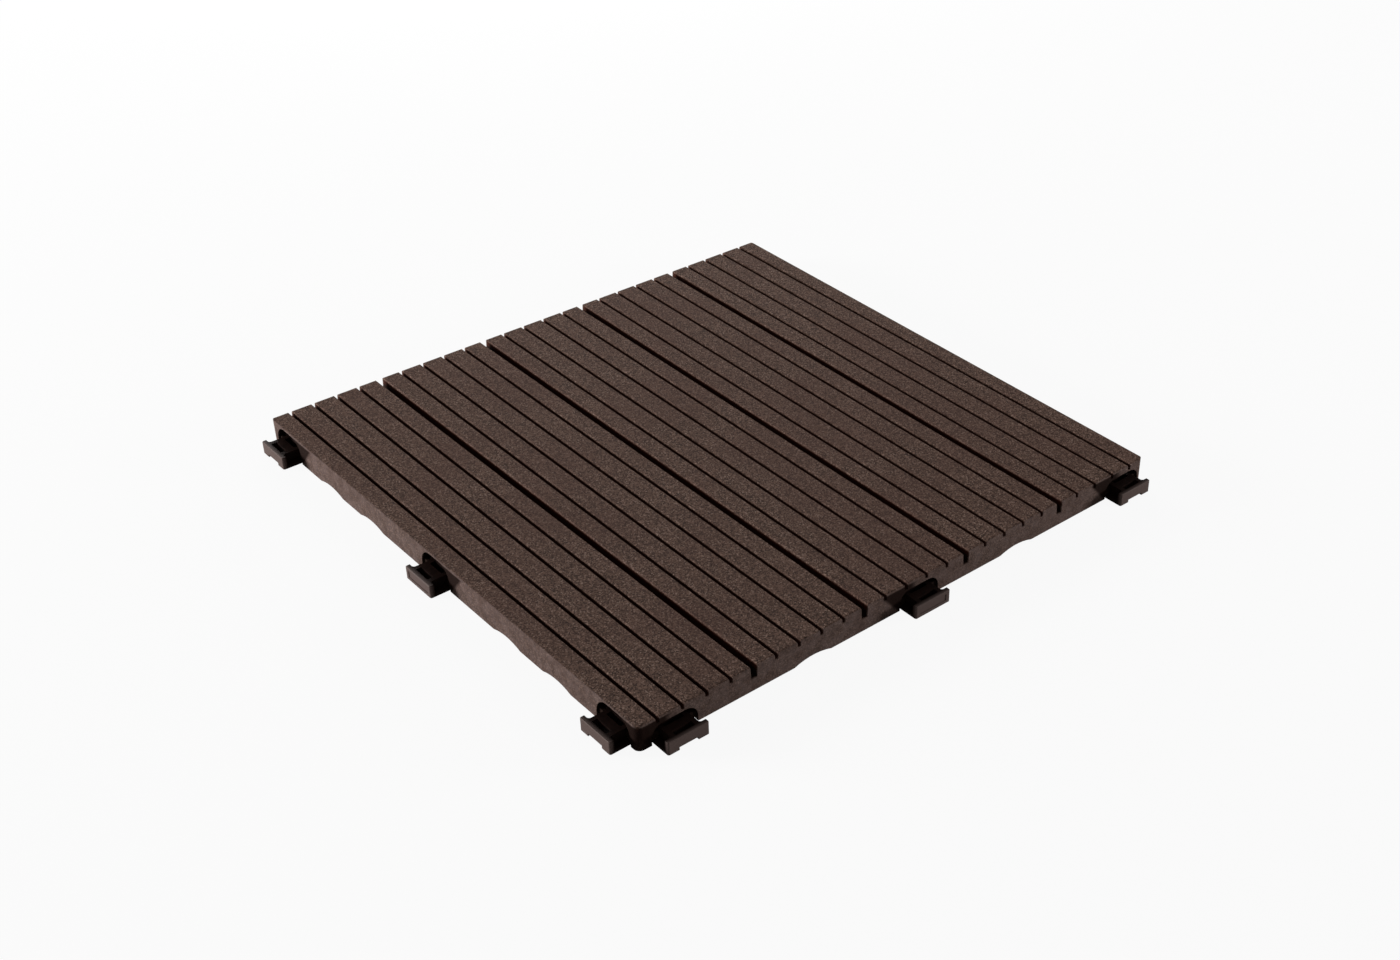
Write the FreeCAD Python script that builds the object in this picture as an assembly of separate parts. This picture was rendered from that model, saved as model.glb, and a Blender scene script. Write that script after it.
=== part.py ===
import FreeCAD, Part
import math
import os

from FreeCAD import Vector

# Interlocking deck tile: one moulded slab with a slatted top, and six clips pressed into its edges.
# The slats run along Y. Z is up, and the origin is the centre of the face that the tile lies on.
# Sizes are in millimetres.

# Slab
tile_side = 300.0
tile_thickness = 12.8
corner_radius = 3.0
end_edge_radius = 1.0
side_edge_radius = 0.6

# Slatted top: planks stand between deep gaps, and each plank is divided by shallow grooves
plank_count = 5
slats_per_plank = 5
plank_gap = 3.9
plank_gap_depth = 6.4
slat_gap = 2.0
slat_gap_depth = 2.8
outer_slat_width = 9.0
slat_edge_radius = 0.45
groove_draft = 3.0

# Drainage channels across the underside, by their distance from the tile's corners
drain_width = 20.4
drain_height = 1.8
side_drain_inset = 56.7
side_drain_spacing = 37.1
end_drain_inset = 88.8

# What lies along the slats' ends sits this far off the middle, towards +X
end_shift = 1.8

# Clip: two upright bars on one base, joined by a waist with a slot behind each bar
corner_clip_inset = 16.5
clip_reach = 9.05
clip_length = 20.6
clip_height = 6.3
clip_base_thickness = 1.6
clip_bar_thickness = 2.2
clip_bar_radius = 0.9
clip_top_bevel = 0.3
clip_waist_width = 14.0
clip_waist_fillet = 1.4
clip_slot_length = 9.8
clip_slot_width = 2.8
clip_slot_radius = 0.5
clip_foot_gap = 9.5
clip_foot_height = 1.4
clip_panel_margin = 1.5
clip_panel_depth = 0.3

# Socket in the tile's edge: half a clip goes in from below, and two lips keep its bar from coming out
socket_side_clearance = 1.2
socket_end_clearance = 2.0
socket_roof = 0.8
socket_shoulder = 8.0
shoulder_clearance = 0.3
lip_setback = 1.0
lip_top = 5.2
lip_bar_clearance = 0.15
lip_waist_clearance = 0.3
lip_base_clearance = 0.3
lip_lead = 0.4

# Tiles laid edge to edge keep the gap that their planks have
joint_gap = plank_gap

quarter_turn = 90.0
half_side = tile_side / 2
plank_width = (tile_side - (plank_count - 1) * plank_gap) / plank_count
plank_pitch = plank_width + plank_gap
slat_pitch = (plank_width - 2 * outer_slat_width - slat_gap) / (slats_per_plank - 2)
outer_side_drain = half_side - side_drain_inset
inner_side_drain = outer_side_drain - side_drain_spacing
end_drain = half_side - end_drain_inset
corner_clip = half_side - corner_clip_inset
clip_half_reach = clip_reach - joint_gap / 2
slot_place = clip_half_reach - clip_bar_thickness - clip_slot_width / 2
bar_reach = clip_half_reach - joint_gap / 2
socket_width = clip_length + 2 * socket_side_clearance
socket_depth = bar_reach + socket_end_clearance
side_socket_height = tile_thickness - socket_roof
end_socket_height = tile_thickness - slat_gap_depth - socket_roof
lip_depth = bar_reach - clip_bar_thickness - lip_bar_clearance
lip_place = clip_waist_width / 2 + lip_waist_clearance
lip_bottom = clip_base_thickness + lip_base_clearance


def rounded_plate(length, width, height, radius):
    """A plate centred on the origin, on z = 0, with round upright edges."""
    plate = Part.makeBox(length, width, height, Vector(-length / 2, -width / 2, 0))
    upright = [e for e in plate.Edges if abs(e.tangentAt(e.FirstParameter).z) > 0.9]
    return plate.makeFillet(radius, upright)


def groove_places():
    """Each groove's middle across the slats, with its width and depth."""
    places = []
    for plank in range(plank_count):
        middle = (plank - (plank_count - 1) / 2) * plank_pitch
        for groove in range(slats_per_plank - 1):
            offset = (groove - (slats_per_plank - 2) / 2) * slat_pitch
            places.append((middle + offset, slat_gap, slat_gap_depth))
        if plank < plank_count - 1:
            places.append((middle + plank_pitch / 2, plank_gap, plank_gap_depth))
    return places


def slat_profile():
    """The slab's section across the slats, in the plane y = 0."""
    top = tile_thickness
    corners = [(-half_side, 0.0, 0.0), (-half_side, top, side_edge_radius)]
    for middle, width, depth in groove_places():
        narrowing = depth * math.tan(math.radians(groove_draft))
        corners += [
            (middle - width / 2, top, slat_edge_radius),
            (middle - width / 2 + narrowing, top - depth, 0.0),
            (middle + width / 2 - narrowing, top - depth, 0.0),
            (middle + width / 2, top, slat_edge_radius),
        ]
    corners += [(half_side, top, side_edge_radius), (half_side, 0.0, 0.0)]
    return rounded_outline([(Vector(x, 0, z), radius) for x, z, radius in corners])


def rounded_outline(corners):
    """A face from corner points, each with the radius that rounds it, or none."""
    starts, ends, arcs = [], [], []
    count = len(corners)
    for index, (point, radius) in enumerate(corners):
        if radius == 0:
            starts.append(point)
            ends.append(point)
            arcs.append(None)
            continue
        back = (corners[index - 1][0] - point).normalize()
        ahead = (corners[(index + 1) % count][0] - point).normalize()
        half_angle = back.getAngle(ahead) / 2
        setback = radius / math.tan(half_angle)
        middle_way = (back + ahead).normalize()
        crown = point + middle_way * (radius / math.sin(half_angle) - radius)
        starts.append(point + back * setback)
        ends.append(point + ahead * setback)
        arcs.append(Part.Arc(starts[-1], crown, ends[-1]).toShape())
    edges = []
    for index in range(count):
        if arcs[index]:
            edges.append(arcs[index])
        edges.append(Part.makeLine(ends[index], starts[(index + 1) % count]))
    return Part.Face(Part.Wire(edges))


def slab():
    """The slatted section run along Y, with its ends and upright corners rounded."""
    body = slat_profile().extrude(Vector(0, tile_side, 0))
    body.translate(Vector(0, -half_side, 0))
    top = tile_thickness
    end_section = rounded_outline([
        (Vector(0, -half_side, 0), 0.0),
        (Vector(0, -half_side, top), end_edge_radius),
        (Vector(0, half_side, top), end_edge_radius),
        (Vector(0, half_side, 0), 0.0),
    ])
    end_form = end_section.extrude(Vector(tile_side, 0, 0))
    end_form.translate(Vector(-half_side, 0, 0))
    footprint = rounded_plate(tile_side, tile_side, tile_thickness, corner_radius)
    return body.common(end_form).common(footprint)


def drain(place):
    """A shallow round-topped channel along Y, cut from the rest face upwards."""
    half = drain_width / 2
    low = Vector(-half, -half_side, 0)
    high = Vector(half, -half_side, 0)
    crown = Part.Arc(low, Vector(0, -half_side, drain_height), high).toShape()
    section = Part.Face(Part.Wire([crown, Part.makeLine(high, low)]))
    channel = section.extrude(Vector(0, tile_side, 0))
    channel.translate(Vector(place, 0, 0))
    return channel


def lips():
    """The two bars left across a socket's mouth, one on each side of the clip's waist.

    They are drawn for the edge at x = 0 with the tile towards +X, and join the socket's sides. The
    lower edges that face the clip are bevelled, so a clip that is pressed in from below finds its way.
    """
    end = socket_width / 2
    plan = rounded_outline([
        (Vector(lip_setback, lip_place, lip_bottom), 0.0),
        (Vector(lip_depth, lip_place, lip_bottom), clip_waist_fillet),
        (Vector(lip_depth, end, lip_bottom), 0.0),
        (Vector(lip_setback, end, lip_bottom), 0.0),
    ])
    lip = plan.extrude(Vector(0, 0, lip_top - lip_bottom))
    lower = [e for e in lip.Edges if e.BoundBox.ZMax < lip_top - lip_lead]
    inner = [e for e in lower if e.BoundBox.XMax > lip_setback + lip_lead]
    facing = [e for e in inner if e.BoundBox.YMin < end - lip_lead]
    lip = lip.makeChamfer(lip_lead, facing)
    return [lip, lip.mirror(Vector(0, 0, 0), Vector(0, 1, 0))]


def shoulder_radius(height):
    """How round a socket's upper corners are: no more than leaves the clip's top corners clear."""
    headroom = height - clip_height
    room = socket_side_clearance + headroom - shoulder_clearance
    spare = socket_side_clearance ** 2 + headroom ** 2 - shoulder_clearance ** 2
    return min(socket_shoulder, room + math.sqrt(room ** 2 - spare))


def socket(height):
    """What is cut from the tile's edge at x = 0 for one clip."""
    half = socket_width / 2
    shoulder = shoulder_radius(height)
    mouth = rounded_outline([
        (Vector(0, -half, 0), 0.0),
        (Vector(0, -half, height), shoulder),
        (Vector(0, half, height), shoulder),
        (Vector(0, half, 0), 0.0),
    ])
    return mouth.extrude(Vector(socket_depth, 0, 0)).cut(lips())


def turned(shape, turns):
    """A copy of a shape, turned about the tile's middle by so many quarter turns."""
    copy = shape.copy()
    copy.rotate(Vector(0, 0, 0), Vector(0, 0, 1), turns * quarter_turn)
    return copy


def clip_places(turns):
    """The clips' middles along one side. No turn is the side at -X, and one turn the side at -Y."""
    shift = (0.0, -end_shift, 0.0, end_shift)[turns]
    return [place + shift for place in (-corner_clip, 0.0, corner_clip)]


def to_edge(shape, turns, place):
    """Carry a shape from the edge at x = 0 to one side of the tile, at a place along it."""
    moved = shape.copy()
    moved.translate(Vector(-half_side, place, 0))
    return turned(moved, turns)


def deck_tile():
    cutters = [drain(end_shift - end_drain), drain(end_shift + end_drain)]
    for place in (-outer_side_drain, -inner_side_drain, inner_side_drain, outer_side_drain):
        cutters.append(turned(drain(place), 1))
    side_socket = socket(side_socket_height)
    end_socket = socket(end_socket_height)
    for turns, cutter in enumerate((side_socket, end_socket, side_socket, end_socket)):
        cutters += [to_edge(cutter, turns, place) for place in clip_places(turns)]
    return slab().cut(cutters).removeSplitter()


def clip(has_feet):
    """A clip about the middle of the joint: x runs across the joint, y along the tile's edge."""
    reach = clip_half_reach
    body = rounded_plate(2 * reach, clip_length, clip_height, clip_bar_radius)
    pocket_reach = reach - clip_bar_thickness
    side_depth = (clip_length - clip_waist_width) / 2
    for side in (-1, 1):
        hollow = rounded_plate(2 * pocket_reach, 2 * side_depth, clip_height, clip_waist_fillet)
        hollow.translate(Vector(0, side * clip_length / 2, clip_base_thickness))
        body = body.cut(hollow)
    for side in (-1, 1):
        slot = rounded_plate(clip_slot_width, clip_slot_length, clip_height, clip_slot_radius)
        slot.translate(Vector(side * slot_place, 0, 0))
        body = body.cut(slot)
    if has_feet:
        gap = Part.makeBox(2 * reach, clip_foot_gap, clip_foot_height,
                           Vector(-reach, -clip_foot_gap / 2, 0))
        body = body.cut(gap)
    else:
        panel_length = clip_length - 2 * (clip_panel_margin + clip_bar_radius)
        panel_height = clip_height - 2 * clip_panel_margin
        for side in (-1, 1):
            panel = Part.makeBox(2 * clip_panel_depth, panel_length, panel_height,
                                 Vector(side * reach - clip_panel_depth, -panel_length / 2, clip_panel_margin))
            body = body.cut(panel)
    rim = [e for e in body.Edges if on_outer_rim(e)]
    return body.makeChamfer(clip_top_bevel, rim)


def on_outer_rim(edge):
    """True for the clip's top edges that lie on its outside ends."""
    box = edge.BoundBox
    level = abs(box.ZMin - clip_height) < 1e-6 and abs(box.ZMax - clip_height) < 1e-6
    outside = max(abs(box.XMin), abs(box.XMax)) > clip_half_reach - clip_bar_radius - 1e-6
    return level and outside


def placed_clips():
    """The six clips, three along each of the two edges that carry them."""
    clips = {}
    sides = (("left", 0, clip_places(0)), ("front", 1, clip_places(1)[::-1]))
    for side, turns, places in sides:
        for spot, place in zip(("near", "middle", "far"), places):
            piece = clip(has_feet=spot != "middle")
            piece.translate(Vector(-joint_gap / 2, 0, 0))
            clips[f"clip_{side}_{spot}"] = to_edge(piece, turns, place)
    return clips


os.makedirs("parts", exist_ok=True)
pieces = {"deck_tile": deck_tile(), **placed_clips()}
for name, shape in pieces.items():
    shape.exportStep(f"parts/{name}.step")
    size = shape.BoundBox
    print(f"{name}: {len(shape.Solids)} solid, valid {shape.isValid()}, volume {shape.Volume:.1f}, "
          f"x {size.XMin:.2f}..{size.XMax:.2f}, y {size.YMin:.2f}..{size.YMax:.2f}, z {size.ZMin:.2f}..{size.ZMax:.2f}")
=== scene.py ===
# %% [markdown]
# # An interlocking deck tile
#
# The object is a square outdoor floor tile, 300 mm on a side and about 13 mm thick. It is moulded in one piece
# from a granular brown composite, its top is divided into long slats, and six small plastic clips stand out of
# two of its edges. The exact shapes come from the CAD model, which this script loads as a fixed frame. What is
# made here is how the tile looks: its two finishes, the floor, the light and the camera.
#
# Everything is in metres, in the CAD model's own frame: Z is up, the slats run along Y, and the origin is the
# centre of the face that the tile lies on.

import math

import bpy
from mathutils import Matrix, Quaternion, Vector


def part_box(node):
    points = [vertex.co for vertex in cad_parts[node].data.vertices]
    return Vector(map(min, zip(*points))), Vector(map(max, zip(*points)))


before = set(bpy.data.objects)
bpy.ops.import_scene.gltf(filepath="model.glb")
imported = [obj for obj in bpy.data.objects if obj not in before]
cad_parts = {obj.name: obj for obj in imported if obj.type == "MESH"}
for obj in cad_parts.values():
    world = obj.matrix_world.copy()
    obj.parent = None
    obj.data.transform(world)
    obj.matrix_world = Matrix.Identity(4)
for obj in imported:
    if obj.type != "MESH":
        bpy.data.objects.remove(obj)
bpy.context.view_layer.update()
millimetre = 0.001
print("CAD pieces:", ", ".join(sorted(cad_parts)))

# %% [markdown]
# ## Shader maths as Python
#
# A material in Blender is a graph of nodes. Drawn by hand it soon fills the screen, and built with plain Python
# it takes four lines for each sum. Here one small class wraps a node's output and overloads the arithmetic
# operators, so `1 - mask` adds a Math node by itself. Every other kind of node comes from one method,
# `Finish.node`, which takes the node's type, its settings and what goes into its sockets. It is less visual
# than the editor, and much easier to read a year later.


# %% A wrapped output, and a material that grows nodes
class Signal:
    """A number that changes over a surface: one output of one node."""

    def __init__(self, finish, socket):
        self.finish = finish
        self.socket = socket

    def __add__(self, other):
        return self.finish.math("ADD", self, other)

    def __sub__(self, other):
        return self.finish.math("SUBTRACT", self, other)

    def __rsub__(self, other):
        return self.finish.math("SUBTRACT", other, self)

    def __mul__(self, other):
        return self.finish.math("MULTIPLY", self, other)

    def __abs__(self):
        return self.finish.math("ABSOLUTE", self)

    __radd__ = __add__
    __rmul__ = __mul__


class Finish:
    """A material in the making."""

    def __init__(self, name):
        self.material = bpy.data.materials.new(name)
        self.material.use_nodes = True
        self.tree = self.material.node_tree
        self.tree.nodes.clear()

    def node(self, kind, settings, inputs, output=0):
        """Add a node: first its settings, then its sockets, by name or number. Returns one output."""
        made = self.tree.nodes.new(kind)
        for name, value in settings.items():
            if name == "stops":
                self.set_stops(made.color_ramp, value)
            else:
                setattr(made, name, value)
        for name, value in inputs.items():
            if isinstance(value, Signal):
                self.tree.links.new(value.socket, made.inputs[name])
            else:
                made.inputs[name].default_value = value
        return Signal(self, made.outputs[output]) if made.outputs else made

    @staticmethod
    def set_stops(ramp, stops):
        while len(ramp.elements) < len(stops):
            ramp.elements.new(1.0)
        for element, (place, colour) in zip(ramp.elements, stops):
            element.position = place
            element.color = colour

    def math(self, operation, first, second=0.0):
        return self.node("ShaderNodeMath", {"operation": operation}, {0: first, 1: second})

    def mix(self, amount, start, end):
        """A colour between two others."""
        return self.node("ShaderNodeMix", {"data_type": "RGBA"}, {0: amount, 6: start, 7: end}, output=2)

    def band(self, signal, low, high):
        """0 below one value and 1 above another, with a smooth step between them."""
        return self.node("ShaderNodeMapRange", {"interpolation_type": "SMOOTHSTEP"},
                         {"Value": signal, "From Min": low, "From Max": high})

    def output(self, shader):
        self.node("ShaderNodeOutputMaterial", {}, {"Surface": shader})


def srgb(red, green, blue):
    """A colour given as 0-255 screen values, in the linear values that shaders use."""
    linear = [(v / 255 / 12.92) if v <= 10 else ((v / 255 + 0.055) / 1.055) ** 2.4 for v in (red, green, blue)]
    return (*linear, 1.0)


def dress(node, finish):
    """Give a CAD piece its finish."""
    for material_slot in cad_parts[node].material_slots:
        material_slot.material = finish.material


print("helpers ready: Signal, Finish, srgb, dress")

# %% [markdown]
# ## Where a point lies on the tile
#
# The grain of the composite is under a millimetre across, and some of the finish depends on place: the bottoms
# of the grooves and the insides of the sockets are painted darker, as painted shade. Object coordinates
# give each point's place in metres, whatever way the mesh is cut. They are turned into millimetres once, so
# that every size below reads as it would on a drawing.


# %% Coordinates in millimetres
def place_in_mm(finish):
    """The point's place in millimetres, as a vector and as its three numbers."""
    place = finish.node("ShaderNodeTexCoord", {}, {}, output="Object")
    scaled = finish.node("ShaderNodeVectorMath", {"operation": "SCALE"}, {0: place, "Scale": 1 / millimetre})
    axes = [finish.node("ShaderNodeSeparateXYZ", {}, {0: scaled}, output=axis) for axis in range(3)]
    return scaled, axes


def noise(finish, place, size, detail=2.0, roughness=0.5):
    """Cloudy noise whose features are about the given size in millimetres."""
    return finish.node("ShaderNodeTexNoise", {}, {"Vector": place, "Scale": 1 / size, "Detail": detail,
                                                  "Roughness": roughness})


print("coordinates ready, in millimetres")

# %% [markdown]
# ## The composite
#
# Close up, the tile is a pressed mass of brown granules, most of them under a millimetre, with a few paler
# ones. A single noise looks like cloud, not like grains. A Voronoi texture has cells, and a random value for
# each of them, which is just what a pressed granulate is: each cell is one granule with its own shade and
# height. Two sizes of cell keep the pattern from looking like tiling. Noise drawn out along Y adds the faint
# streaks that run down the slats from the mould, and a slow noise keeps large areas from being one even tone.

# %% The granulate's tones and heights
composite = Finish("granular_brown_composite")
place, (across, along, up) = place_in_mm(composite)
granule_size = 0.54
dust_size = 0.27
pale_share = 0.9

granule = composite.node("ShaderNodeTexVoronoi", {"feature": "F1"}, {"Vector": place, "Scale": 1 / granule_size},
                         output="Color")
granule_tone = composite.node("ShaderNodeSeparateColor", {}, {0: granule}, output=0)
granule_kind = composite.node("ShaderNodeSeparateColor", {}, {0: granule}, output=1)
granule_dome = composite.node("ShaderNodeTexVoronoi", {"feature": "F1"},
                              {"Vector": place, "Scale": 1 / granule_size}, output="Distance")
dust = composite.node("ShaderNodeTexVoronoi", {"feature": "F1"}, {"Vector": place, "Scale": 1 / dust_size},
                      output="Color")
dust_tone = composite.node("ShaderNodeSeparateColor", {}, {0: dust}, output=0)
pale = composite.band(granule_kind, pale_share, pale_share + 0.02)
stretched = composite.node("ShaderNodeVectorMath", {"operation": "MULTIPLY"}, {0: place, 1: (1.0, 0.04, 1.0)})
streak = noise(composite, stretched, 1.6, detail=3.0)
cloud = noise(composite, place, 38.0)
print("granules of", granule_size, "mm and", dust_size, "mm,", round((1 - pale_share) * 100), "% of them pale")

# %% [markdown]
# The grooves and sockets are painted darker, a painted shade for where little light reaches. The grooves are found
# by place: whatever lies inside the tile's outline, under the top and above the shallow channels of the
# underside. The sockets near the edges take a still darker painted shade. The mask goes by place, so it stays where
# it is from every side.

# %% Painted shade in the grooves and sockets
tile_low, tile_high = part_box("deck_tile")
half_side = tile_high[0] / millimetre
top = tile_high[2] / millimetre
skin_depth = 0.5
under_level = 2.2

inside = (1 - composite.band(abs(across), half_side - 0.9, half_side - 0.4)) * (
    1 - composite.band(abs(along), half_side - 0.9, half_side - 0.4))
# Grooves and sockets: the places that are painted darker as shade.
hollow = inside * (1 - composite.band(up, top - skin_depth - 0.9, top - skin_depth)) * composite.band(
    up, under_level - 0.3, under_level)
outermost_place = composite.math("MAXIMUM", abs(across), abs(along))
# The sockets' insides, painted darker still as shade.
pocket = composite.band(outermost_place, half_side - 8.0, half_side - 7.4) * (1 - composite.band(up, 9.2, 10.0))
print("half side", round(half_side, 2), "mm, top at", round(top, 2), "mm")

# %% [markdown]
# The edges are smoother than the top, because they were pressed against the mould's walls, and they are painted
# greyer with paler blotches as a painted sheen. Beside each clip a painted shadow darkens the edge. It stands for
# the shadow that the clip casts towards the near corner, and the near corner post is painted dark as shade. The
# clips are evenly spaced, so one local coordinate serves all of them: the place along the edge is divided by the
# spacing, and what is left over after the whole numbers says how far the nearest clip's middle is.

# %% The smooth edges' painted sheen and the painted shadows beside the clips
clip_spacing = (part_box("clip_left_far")[0][1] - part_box("clip_left_middle")[0][1]) / millimetre
front_middle = sum(corner[0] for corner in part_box("clip_front_middle")) / 2 / millimetre
patch_start = 10.8
patch_slope = 0.85
patch_softness = 2.6
corner_reach = 5.5
corner_top = 11.2


def beside_clips(place_on_edge):
    """1 in the painted shadow on the near side of each clip. It reaches further from the clip higher up the edge."""
    turns = place_on_edge * (1 / clip_spacing) + 0.5
    from_clip = (0.5 - composite.math("FRACT", turns)) * clip_spacing
    reach = from_clip - up * patch_slope
    beyond = composite.band(from_clip, 0, patch_start / 2)
    return beyond * (1 - composite.band(reach, patch_start, patch_start + patch_softness))


on_left_edge = composite.band(across * -1, half_side - 1, half_side - 0.4)
on_front_edge = composite.band(along * -1, half_side - 1, half_side - 0.4)
below_rim = 1 - composite.band(up, top - 1.4, top - 0.5)
# Painted shadow: the clips' shadows on the edges beside them.
clip_shadows = composite.math("MAXIMUM", on_left_edge * beside_clips(along),
                         on_front_edge * beside_clips(across - front_middle)) * below_rim
# Painted shadow on the near corner post.
near_corner_shadow = composite.band(across * -1, half_side - corner_reach - 0.6, half_side - corner_reach) * composite.band(
    along * -1, half_side - corner_reach - 0.6, half_side - corner_reach) * (
    1 - composite.band(up, corner_top - 0.5, corner_top + 0.3))
# The edge faces, which are painted greyer as a painted sheen.
on_edge = composite.band(outermost_place, half_side - 0.5, half_side - 0.2)
print("clips every", round(clip_spacing, 1), "mm")

# %% Colour, gloss and relief of the composite
tile_brown = srgb(84, 65, 56)
dark_granule = srgb(46, 33, 28)
light_granule = srgb(117, 93, 82)
pale_granule = srgb(156, 131, 118)
reddish_area = srgb(82, 58, 51)
edge_sheen_brown = srgb(80, 67, 63)
edge_sheen_pale = srgb(102, 88, 85)
# Painted shade colours for the grooves, the sockets and the clips' shadows.
groove_painted_shade = srgb(54, 20, 11)
painted_shade_brown = srgb(24, 11, 7)
blotch = noise(composite, place, 5.0, detail=3.0)

tone = granule_tone * 0.6 + dust_tone * 0.2 + streak * 0.2
body = composite.node("ShaderNodeValToRGB", {"stops": [(0.18, dark_granule), (0.5, tile_brown),
                                                       (0.82, light_granule)]}, {0: tone})
body = composite.mix(pale * 0.6, body, pale_granule)
body = composite.mix(composite.band(cloud, 0.35, 0.7) * 0.3, body, reddish_area)
# Painted sheen: greyer edges with paler blotches.
edge_sheen_tone = composite.mix(composite.band(blotch, 0.35, 0.65), edge_sheen_brown, edge_sheen_pale)
body = composite.mix(on_edge * 0.55, body, edge_sheen_tone)
# Painted shade in the grooves, darker in the sockets.
body = composite.mix(hollow * 0.93, body, composite.mix(pocket, groove_painted_shade, painted_shade_brown))
# Painted shadows beside the clips.
body = composite.mix(clip_shadows * 0.97, body, painted_shade_brown)
# Painted shade on the near corner post.
body = composite.mix(near_corner_shadow * 0.88, body, painted_shade_brown)

relief = granule_tone * 0.55 + (1 - granule_dome) * 0.3 + dust_tone * 0.25 + streak * 0.25
bump = composite.node("ShaderNodeBump", {}, {"Strength": 0.8, "Distance": 0.14 * millimetre, "Height": relief})
gloss = 0.68 + granule_tone * 0.16
surface = composite.node("ShaderNodeBsdfPrincipled", {}, {
    "Base Color": body, "Roughness": gloss, "Normal": bump, "Specular IOR Level": 0.06,
    "Specular Tint": (1.0, 0.86, 0.78, 1.0)})
composite.output(surface)
dress("deck_tile", composite)
print("composite on deck_tile:", len(composite.tree.nodes), "nodes")

# %% [markdown]
# ## The clips
#
# The clips are injection-moulded in a harder plastic of nearly the same brown. It is smoother than the tile, so
# it shows soft highlights on its bars, with a slight unevenness that moulders call orange peel. One noise for
# the waviness and a finer one for the speckle in its gloss are enough at this size.

# %% Satin moulded plastic
plastic = Finish("satin_brown_plastic")
place, (across, along, up) = place_in_mm(plastic)
# The clips' browns are painted dark as shade on their waists and inner parts. The outer bars get a lighter brown,
# which is partly scuffs and partly painted light.
clip_brown_painted_shade = srgb(30, 17, 14)
clip_dark_painted_shade = srgb(21, 11, 9)
lit_and_scuffed_brown = srgb(90, 76, 72)
outermost = -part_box("clip_left_middle")[0][0] / millimetre
outwards = plastic.math("MAXIMUM", across * -1, along * -1)
# The outer bars are lighter, partly as painted light where they face the lamps and partly as scuffs.
lit_bars_and_scuffs = plastic.band(outwards, outermost - 2.4, outermost - 0.2)
waviness = noise(plastic, place, 2.4)
speckle = noise(plastic, place, 0.35, detail=3.0, roughness=0.7)
tint = plastic.mix(plastic.band(waviness, 0.35, 0.7), clip_brown_painted_shade, clip_dark_painted_shade)
tint = plastic.mix(lit_bars_and_scuffs * (0.7 + speckle * 0.5), tint, lit_and_scuffed_brown)
plastic_relief = waviness * 0.6 + speckle * 0.25
plastic_bump = plastic.node("ShaderNodeBump", {}, {"Strength": 0.5, "Distance": 0.08 * millimetre,
                                                   "Height": plastic_relief})
plastic_surface = plastic.node("ShaderNodeBsdfPrincipled", {}, {
    "Base Color": tint, "Roughness": 0.42 + speckle * 0.18, "Normal": plastic_bump, "Specular IOR Level": 0.09,
    "Specular Tint": (1.0, 0.84, 0.76, 1.0)})
plastic.output(plastic_surface)
clips = sorted(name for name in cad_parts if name.startswith("clip_"))
for name in clips:
    dress(name, plastic)
print("plastic on", len(clips), "clips")

# %% [markdown]
# ## The floor
#
# The tile lies on a plain white floor, as in a catalogue picture. If the floor were made white with more light,
# the tile would be washed out. Light Path tells a camera ray from the rest, so the camera sees the floor mostly
# as an even white, while the tile is lit by an ordinary pale floor and still casts its soft shadow on it.

# %% Floor and surroundings
floor_reach = 30.0
floor_mesh = bpy.data.meshes.new("floor")
floor_mesh.from_pydata([(-floor_reach, -floor_reach, 0), (floor_reach, -floor_reach, 0),
                        (floor_reach, floor_reach, 0), (-floor_reach, floor_reach, 0)], [], [(0, 1, 2, 3)])
floor = bpy.data.objects.new("floor", floor_mesh)
floor.location.z = -0.02 * millimetre
bpy.context.collection.objects.link(floor)

paper = Finish("white_floor")
seen = paper.node("ShaderNodeLightPath", {}, {}, output="Is Camera Ray")
plain = paper.node("ShaderNodeBsdfDiffuse", {}, {"Color": (0.8, 0.8, 0.8, 1.0)})
white = paper.node("ShaderNodeEmission", {}, {"Color": (1.0, 1.0, 1.0, 1.0), "Strength": 1.0})
paper.output(paper.node("ShaderNodeMixShader", {}, {0: seen * 0.92, 1: plain, 2: white}))
floor_mesh.materials.append(paper.material)

world = bpy.data.worlds.new("studio")
world.use_nodes = True
bpy.context.scene.world = world
tree = world.node_tree
tree.nodes.clear()
light_path = tree.nodes.new("ShaderNodeLightPath")
room = tree.nodes.new("ShaderNodeBackground")
room.inputs["Color"].default_value = (1.0, 1.0, 1.0, 1.0)
room.inputs["Strength"].default_value = 0.175
backdrop = tree.nodes.new("ShaderNodeBackground")
backdrop.inputs["Color"].default_value = (1.0, 1.0, 1.0, 1.0)
choice = tree.nodes.new("ShaderNodeMixShader")
sky = tree.nodes.new("ShaderNodeOutputWorld")
backdrop.inputs["Strength"].default_value = 0.94
tree.links.new(light_path.outputs["Is Camera Ray"], choice.inputs[0])
tree.links.new(room.outputs[0], choice.inputs[1])
tree.links.new(backdrop.outputs[0], choice.inputs[2])
tree.links.new(choice.outputs[0], sky.inputs["Surface"])
print("floor", 2 * floor_reach, "m wide, surroundings at", room.inputs["Strength"].default_value)

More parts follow.
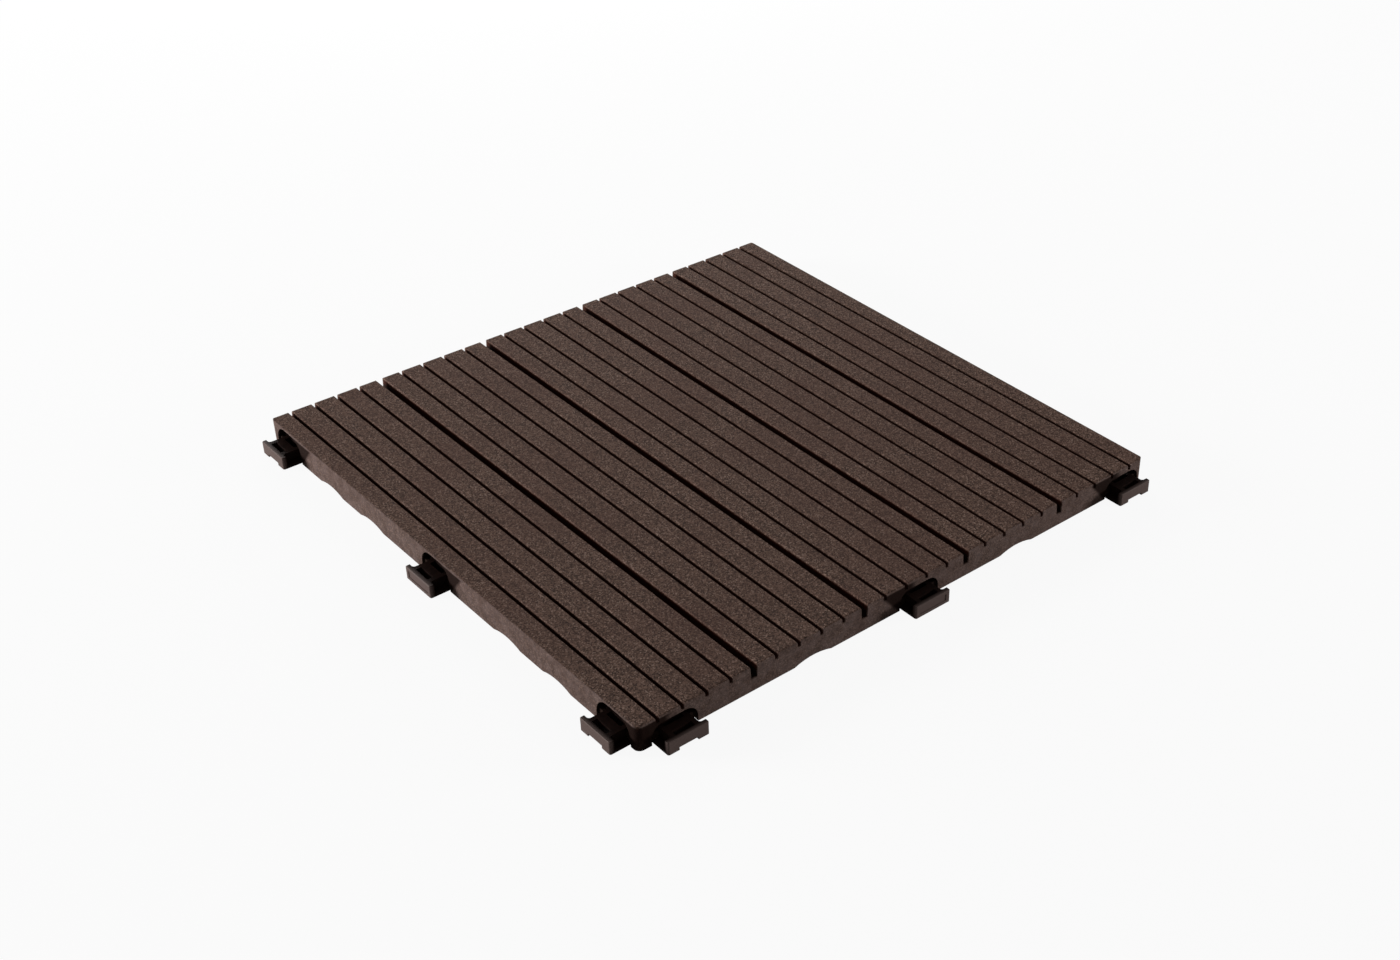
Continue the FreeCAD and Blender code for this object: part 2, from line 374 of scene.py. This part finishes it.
# %% [markdown]
# ## The light
#
# In the picture the long left edge is the brightest face, the top gets lighter towards the back, and the right
# edge is dim. That is one large soft light low on the left, and a second one behind the tile that skims over
# its top. Area lights give the soft edges of a studio's boxes; a sun would draw hard lines in the grooves.


# %% Soft boxes
def soft_box(name, place, size, power):
    lamp = bpy.data.lights.new(name, "AREA")
    lamp.shape = "RECTANGLE"
    lamp.size, lamp.size_y = size
    lamp.energy = power
    box = bpy.data.objects.new(name, lamp)
    box.location = place
    box.rotation_euler = (-Vector(place)).to_track_quat("-Z", "Y").to_euler()
    bpy.context.collection.objects.link(box)
    print(name, "at", place, "with", power, "W")


soft_box("key_from_the_left", (-1.4, 1.3, 0.31), (0.6, 0.45), 52.0)
soft_box("skim_from_behind", (0.55, 0.95, 0.42), (0.9, 0.3), 6.8)
soft_box("fill_from_the_right", (1.3, -0.85, 0.22), (0.5, 0.3), 16.0)

# %% [markdown]
# ## The camera
#
# The view was worked out from the tile itself: its edges, grooves and clips have known sizes, and only one
# camera puts them all where the picture has them. It looks down at the near corner from a little over half a
# metre, rolled by two degrees. The picture's optical centre is right of its middle, which is the lens shift.

# %% Camera
image_width = 1400
sensor_width = 36.0
focal_pixels = 1867.9
centre_column = 900.0

lens = bpy.data.cameras.new("camera")
lens.sensor_width = sensor_width
lens.lens = sensor_width * focal_pixels / image_width
lens.shift_x = (image_width / 2 - centre_column) / image_width
lens.clip_start = 0.01
camera = bpy.data.objects.new("camera", lens)
camera.location = (-0.4593, -0.6161, 0.5013)
azimuth = math.radians(46.191)
elevation = math.radians(-33.736)
aim = Vector((math.cos(elevation) * math.cos(azimuth), math.cos(elevation) * math.sin(azimuth), math.sin(elevation)))
roll = Quaternion((0, 0, 1), math.radians(1.927))
camera.rotation_mode = "QUATERNION"
camera.rotation_quaternion = aim.to_track_quat("-Z", "Y") @ roll
bpy.context.collection.objects.link(camera)
bpy.context.scene.camera = camera
bpy.context.scene.view_settings.view_transform = "Standard"
print("lens", round(lens.lens, 2), "mm, shift", round(lens.shift_x, 4))
